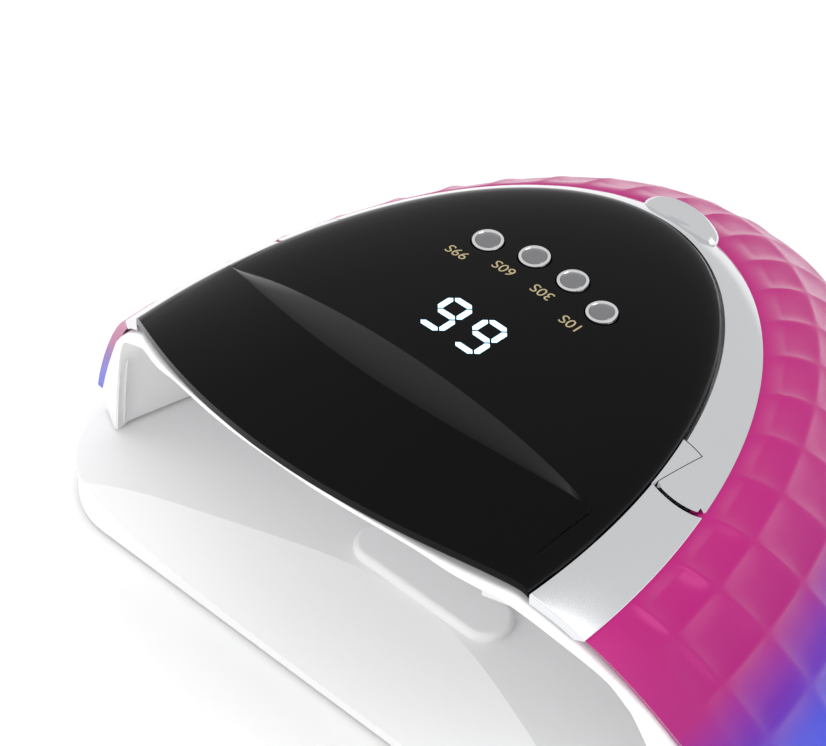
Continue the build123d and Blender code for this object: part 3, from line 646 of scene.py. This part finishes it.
def build_panel():
    """Crowned panel. Columns run from the rim to the back, with rows on the visor's crest and foot."""
    inset, rim_gap, front_part, front_split, back_split = 0.05, 0.1, 0.3, 0.35, 0.6
    half = PANEL_HALF[0] - inset
    columns, front_rows, face_rows, back_rows = 160, 22, 10, 90
    top, bottom = [], []
    for c in range(columns + 1):
        x = half * sin(pi / 2 * (2 * c / columns - 1)) * SHARE_TOP
        back = CENTRE_Y + (PANEL_HALF[1] - inset) * sqrt(max(0.0, 1 - (x / half) ** 2))
        front = mouth_y(x) + rim_gap
        crest, foot = max(crest_y(x), front), foot_y(x)
        inside = abs(x) < VISOR_END and crest < foot
        stations = []
        split_a = crest if inside else front + front_split * (back - front) * front_part
        split_b = foot if inside else front + back_split * (back - front) * front_part
        for k in range(front_rows):
            y = front + (split_a - front) * k / front_rows
            stations.append((y, apron_height(x, y) if inside else panel_skin(x, y)))
        for k in range(face_rows):
            share = k / face_rows
            y = split_a + (split_b - split_a) * share
            high = apron_height(x, split_a)
            face = high + (panel_skin(x, split_b) - high) * share**1.15
            stations.append((y, face if inside else panel_skin(x, y)))
        for k in range(back_rows + 1):
            y = split_b + (back - split_b) * k / back_rows
            stations.append((y, panel_skin(x, y)))
        top.append([(x, y, z) for y, z in stations])
        bottom.append([(x, y, z - PANEL_WALL) for y, z in stations])
    panel = slab("panel_skin", top, bottom)
    fix_normals(panel)
    sharpen(panel, 14)
    return panel


def drill_buttons(panel):
    """Sinks the button holes into the panel."""
    for label, x in BUTTONS.items():
        carve(panel, lathe(f"cut_{label}", (x, button_y(x), 0),
                           [(0, 60), (BUTTON_HOLE, 60), (BUTTON_HOLE, 110), (0, 110)]))


panel = build_panel()
drill_buttons(panel)
sharpen(panel, 14)
finish_piece(panel, "head", "panel_black", ["control_panel"])

# ---------------------------------------------------------------- buttons: a bright ring, a darker face
STEM_RADIUS, CAP_DEPTH, CAP_RADIUS = 1.8, -3.5, BUTTON_RADIUS - 0.05
CAP_TOP = [(3.85, 0.62), (3.5, 0.78), (3.15, 0.7), (FACE_RADIUS, 0.42), (2.8, 0.6), (2.4, 0.86), (1.9, 1.06),
           (1.3, 1.18), (0.7, 1.24), (0, 1.26)]
for label, x in BUTTONS.items():
    y = button_y(x)
    seat = panel_skin(x, y)
    floor_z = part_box(label)[0][2] / MM - seat
    stem = [(0, floor_z), (STEM_RADIUS, floor_z), (STEM_RADIUS, CAP_DEPTH), (CAP_RADIUS, CAP_DEPTH)]
    cap = lathe(f"cap_{label[7:]}", (x, y, seat), stem + [(CAP_RADIUS, 0.35)] + CAP_TOP)
    finish_piece(cap, f"key_{label[7:]}", "button_chrome", [label])
    cap.data.materials.append(MATERIALS["button_face"])
    for poly in cap.data.polygons:
        middle = Vector((poly.center.x / MM - x, poly.center.y / MM - y))
        if middle.length < FACE_RADIUS and poly.center.z / MM > seat:
            poly.material_index = 1


# ---------------------------------------------------------------- lit digits and printed time labels
def on_panel(x, y, lift):
    return (x, y, panel_skin(x, y) + lift)


def plate(name, outline, lift, thick, body, slot_name, look):
    """Thin raised plate of a convex outline on the panel's skin."""
    centre = (sum(p[0] for p in outline) / len(outline), sum(p[1] for p in outline) / len(outline))
    verts = [on_panel(*centre, lift)] + [on_panel(x, y, lift) for x, y in outline]
    verts += [on_panel(x, y, lift - thick) for x, y in outline]
    count = len(outline)
    faces = [(0, 1 + k, 1 + (k + 1) % count) for k in range(count)]
    faces += [(1 + k, 1 + count + k, 1 + count + (k + 1) % count, 1 + (k + 1) % count) for k in range(count)]
    faces.append(tuple(1 + count + k for k in range(count - 1, -1, -1)))
    obj = new_object(name, verts, faces, smooth=False)
    fix_normals(obj)
    finish_piece(obj, body, slot_name, look=look)
    return obj


DIGIT_WIDE, DIGIT_TALL, DIGIT_PLACES, SEGMENT, SEGMENT_GAP = 7.8, 13.3, (-5.6, 5.6), 1.7, 0.3
SEGMENT_LIFT, SEGMENT_THICK = 0.03, 0.3
LABEL_SIZE, LABEL_THICK, LABEL_LIFT, LABEL_OFFSET = 4.4, 0.02, 0.1, (-2.0, -8.4)
SEGMENTS = {"a": ((-1, 1), (1, 1)), "g": ((-1, 0), (1, 0)), "d": ((-1, -1), (1, -1)),
            "f": ((-1, 0), (-1, 1)), "b": ((1, 0), (1, 1)), "c": ((1, -1), (1, 0))}
for index, centre_x in enumerate(DIGIT_PLACES):
    for letter, (start, end) in SEGMENTS.items():
        half_w, half_h = (DIGIT_WIDE - SEGMENT) / 2, (DIGIT_TALL - SEGMENT) / 2
        a = Vector((centre_x + start[0] * half_w, DISPLAY_Y + start[1] * half_h))
        b = Vector((centre_x + end[0] * half_w, DISPLAY_Y + end[1] * half_h))
        along = (b - a).normalized()
        a, b = a + along * SEGMENT_GAP, b - along * SEGMENT_GAP
        cross = Vector((-along.y, along.x)) * SEGMENT / 2
        mitre = along * SEGMENT / 2
        outline = [a, a + mitre - cross, b - mitre - cross, b, b - mitre + cross, a + mitre + cross]
        plate(f"digit_{index}_{letter}", [(p.x, p.y) for p in outline], SEGMENT_LIFT, SEGMENT_THICK, "head",
              "display_black", "digit_glow")

for label, x in BUTTONS.items():
    text = bpy.data.curves.new(f"time_{label[7:]}", "FONT")
    text.body = label[7:].upper()
    text.size, text.extrude = LABEL_SIZE * MM, LABEL_THICK * MM
    text.align_x, text.align_y = "CENTER", "CENTER"
    obj = bpy.data.objects.new(f"time_{label[7:]}", text)
    bpy.context.scene.collection.objects.link(obj)
    place_x, place_y = x + LABEL_OFFSET[0], button_y(x) + LABEL_OFFSET[1]
    slope_x = (panel_skin(place_x + 1, place_y) - panel_skin(place_x - 1, place_y)) / 2
    slope_y = (panel_skin(place_x, place_y + 1) - panel_skin(place_x, place_y - 1)) / 2
    normal = Vector((-slope_x, -slope_y, 1)).normalized()
    turned = Vector((0, 0, 1)).rotation_difference(normal).to_matrix().to_4x4() @ Matrix.Rotation(pi, 4, "Z")
    spot = Vector(on_panel(place_x, place_y, LABEL_LIFT)) * MM
    obj.matrix_world = Matrix.Translation(spot) @ turned
    obj.data.materials.append(MATERIALS["label_gold"])
    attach(obj, "head")

# ---------------------------------------------------------------- white inner housing
CAVITY = ((-104, 98.5, 76.2), (-74, 98.0, 76.0), (-57, 95.8, 71.5), (-38, 91.0, 62.0), (-14, 87.5, 59.5),
          (8, 82.0, 57.5), (30, 72.5, 54.5), (48, 59.0, 50.0), (60, 44.0, 43.0))
LIP_OUTER = [(109.8, 13.0), (101.5, 29), (90.2, 48.5), (85.4, 55.2), (81, 60.7), (72.5, 70.2), (61.5, 80.5),
             (56, 83.0), (49, 85.2), (40, 88.0), (30, 90.6), (16, 92.6), (0, 93.6)]
LIP_INNER = [(95.6, 13.0), (91.5, 30), (85.6, 48), (83.3, 53), (79.0, 60), (70.0, 68.5), (59.4, 77.6),
             (53.4, 80.4), (46.9, 83.0), (38.7, 86.9), (28.9, 89.3), (15.4, 91.0), (0, 92.0)]
LIP_BLEND, LINER_WALL = 5.0, 2.2
LIP_FRONT, LIP_DEPTH, LIP_END = 0.15, 3.4, 1.05     # behind the mouth's edge: lip's face, back, inner end
LIP_PROFILE = ((0.0, 3.0), (0.0, 0.9), (0.03, 0.35), (0.1, 0.08), (0.5, 0.0), (0.88, 0.06), (0.96, 0.3),
               (1.0, 0.9))                          # share across the lip, and how far back its face lies
END_RINGS, END_BULGE, END_DEPTH = (0.97, 0.85, 0.6, 0.3, 0.02), 1.2, 3.4    # the cavity's rounded back wall


def smooth_line(points, count):
    """Evenly spaced points on a Catmull-Rom curve, mirrored to run from the right foot to the left."""
    path = [Vector(p) for p in points] + [Vector((-x, z)) for x, z in reversed(points[:-1])]
    dense = []
    for k in range(len(path) - 1):
        a, b = path[max(0, k - 1)], path[k]
        c, d = path[k + 1], path[min(len(path) - 1, k + 2)]
        for step in range(16):
            t = step / 16
            dense.append(0.5 * (2 * b + (c - a) * t + (2 * a - 5 * b + 4 * c - d) * t * t
                                + (3 * b - a - 3 * c + d) * t**3))
    dense.append(path[-1])
    return [dense[round(k * (len(dense) - 1) / count)] for k in range(count + 1)]


def cavity_size(y):
    for (y0, half0, height0), (y1, half1, height1) in zip(CAVITY, CAVITY[1:]):
        if y <= y1:
            share = (y - y0) / (y1 - y0)
            return half0 + share * (half1 - half0), height0 + share * (height1 - height0)
    return CAVITY[-1][1:]


def build_liner():
    """Rounded lip round the mouth, the curing cavity behind it and its back wall."""
    count, depth_rows, deepest = 160, 40, CAVITY[-1][0]
    outer, inner = smooth_line(LIP_OUTER, count), smooth_line(LIP_INNER, count)
    visible, hidden = [], []
    for across, back in LIP_PROFILE:
        row, low = [], []
        for o, i in zip(outer, inner):
            p = o.lerp(i, across)
            row.append((p.x, mouth_y(p.x) + LIP_FRONT + back, p.y))
            low.append((p.x, mouth_y(p.x) + LIP_DEPTH + back * 0.1, p.y + 0.05))
        visible.append(row)
        hidden.append(low)
    for r in range(1, depth_rows + 1):
        row, low = [], []
        for i in inner:
            front = mouth_y(i.x) + LIP_END
            y = front + (deepest - front) * (r / depth_rows) ** 1.15
            half, height = cavity_size(y)
            half0, height0 = cavity_size(front)
            angle = atan2(max(0.0, i.y - BODY_Z) / height0, i.x / half0)
            share = min(1.0, (y - front) / LIP_BLEND)
            share = share * share * (3 - 2 * share)
            x = i.x + (half * cos(angle) - i.x) * share
            z = i.y + (BODY_Z + 0.05 + height * sin(angle) - i.y) * share
            row.append((x, y, z))
            low.append((x + LINER_WALL * cos(angle), y, z + LINER_WALL * sin(angle)))
        visible.append(row)
        hidden.append(low)
    last = visible[-1]
    for shrink in END_RINGS:
        bulge = min(END_BULGE, 2.0 * (1 - shrink))
        flat = [(x * shrink, y, BODY_Z + (z - BODY_Z) * shrink) for x, y, z in last]
        visible.append([(x, y + bulge, z) for x, y, z in flat])
        hidden.append([(x, y + END_DEPTH, z) for x, y, z in flat])
    liner = slab("liner_skin", visible, hidden)
    fix_normals(liner)
    sharpen(liner, 40)
    return liner


finish_piece(build_liner(), "head", "white_gloss", ["inner_liner", "mouth_bezel"])

# ---------------------------------------------------------------- floor, light and camera
floor_mesh = bpy.data.meshes.new("floor")
REACH = 3.0
floor_mesh.from_pydata([(-REACH, -REACH, 0), (REACH, -REACH, 0), (REACH, REACH, 0), (-REACH, REACH, 0)], [],
                       [(0, 1, 2, 3)])
floor = bpy.data.objects.new("floor", floor_mesh)
bpy.context.scene.collection.objects.link(floor)
floor_look = plastic("floor_pale", (0.93, 0.93, 0.93), (0.6, 0.7), 300, 0.0, 0, 0, 0.004)
floor.data.materials.append(floor_look)

world = bpy.data.worlds.new("studio")
bpy.context.scene.world = world
world.use_nodes = True
world.node_tree.nodes["Background"].inputs["Color"].default_value = (1, 1, 1, 1)
world.node_tree.nodes["Background"].inputs["Strength"].default_value = 0.72


def area_light(name, place, target, size, power, mirrored=False):
    light = bpy.data.lights.new(name, "AREA")
    light.shape, light.size, light.size_y, light.energy = "RECTANGLE", size[0], size[1], power
    obj = bpy.data.objects.new(name, light)
    bpy.context.scene.collection.objects.link(obj)
    obj.visible_glossy = mirrored
    obj.location = place
    obj.rotation_euler = (Vector(target) - Vector(place)).to_track_quat("-Z", "Y").to_euler()


area_light("top", (0.1, -0.1, 1.7), (0, 0, 0.05), (1.6, 1.6), 13)
area_light("right", (1.5, 0.3, 0.7), (0, 0, 0.05), (1.0, 1.0), 6, mirrored=True)
area_light("left", (-1.4, -0.7, 0.7), (0, 0, 0.05), (1.0, 1.0), 4)
area_light("front", (0.2, -1.6, 0.5), (0, 0, 0.05), (1.2, 0.8), 6)

AZIMUTH, ELEVATION = radians(44.54), radians(42.83)
camera_data = bpy.data.cameras.new("camera")
camera_data.sensor_width, camera_data.lens = 36.0, 160.8
camera_data.shift_x, camera_data.shift_y = 0.034, -0.0097
camera_data.clip_end = 20
camera = bpy.data.objects.new("camera", camera_data)
bpy.context.scene.collection.objects.link(camera)
camera.location = (0.43387, -0.50187, 0.67061)
right = Vector((cos(AZIMUTH), sin(AZIMUTH), 0))
up = Vector((-sin(AZIMUTH) * sin(ELEVATION), cos(AZIMUTH) * sin(ELEVATION), cos(ELEVATION)))
back = right.cross(up)
camera.rotation_euler = Matrix((right, up, back)).transposed().to_euler()
bpy.context.scene.camera = camera
bpy.context.scene.view_settings.view_transform = "Standard"

bpy.context.view_layer.update()
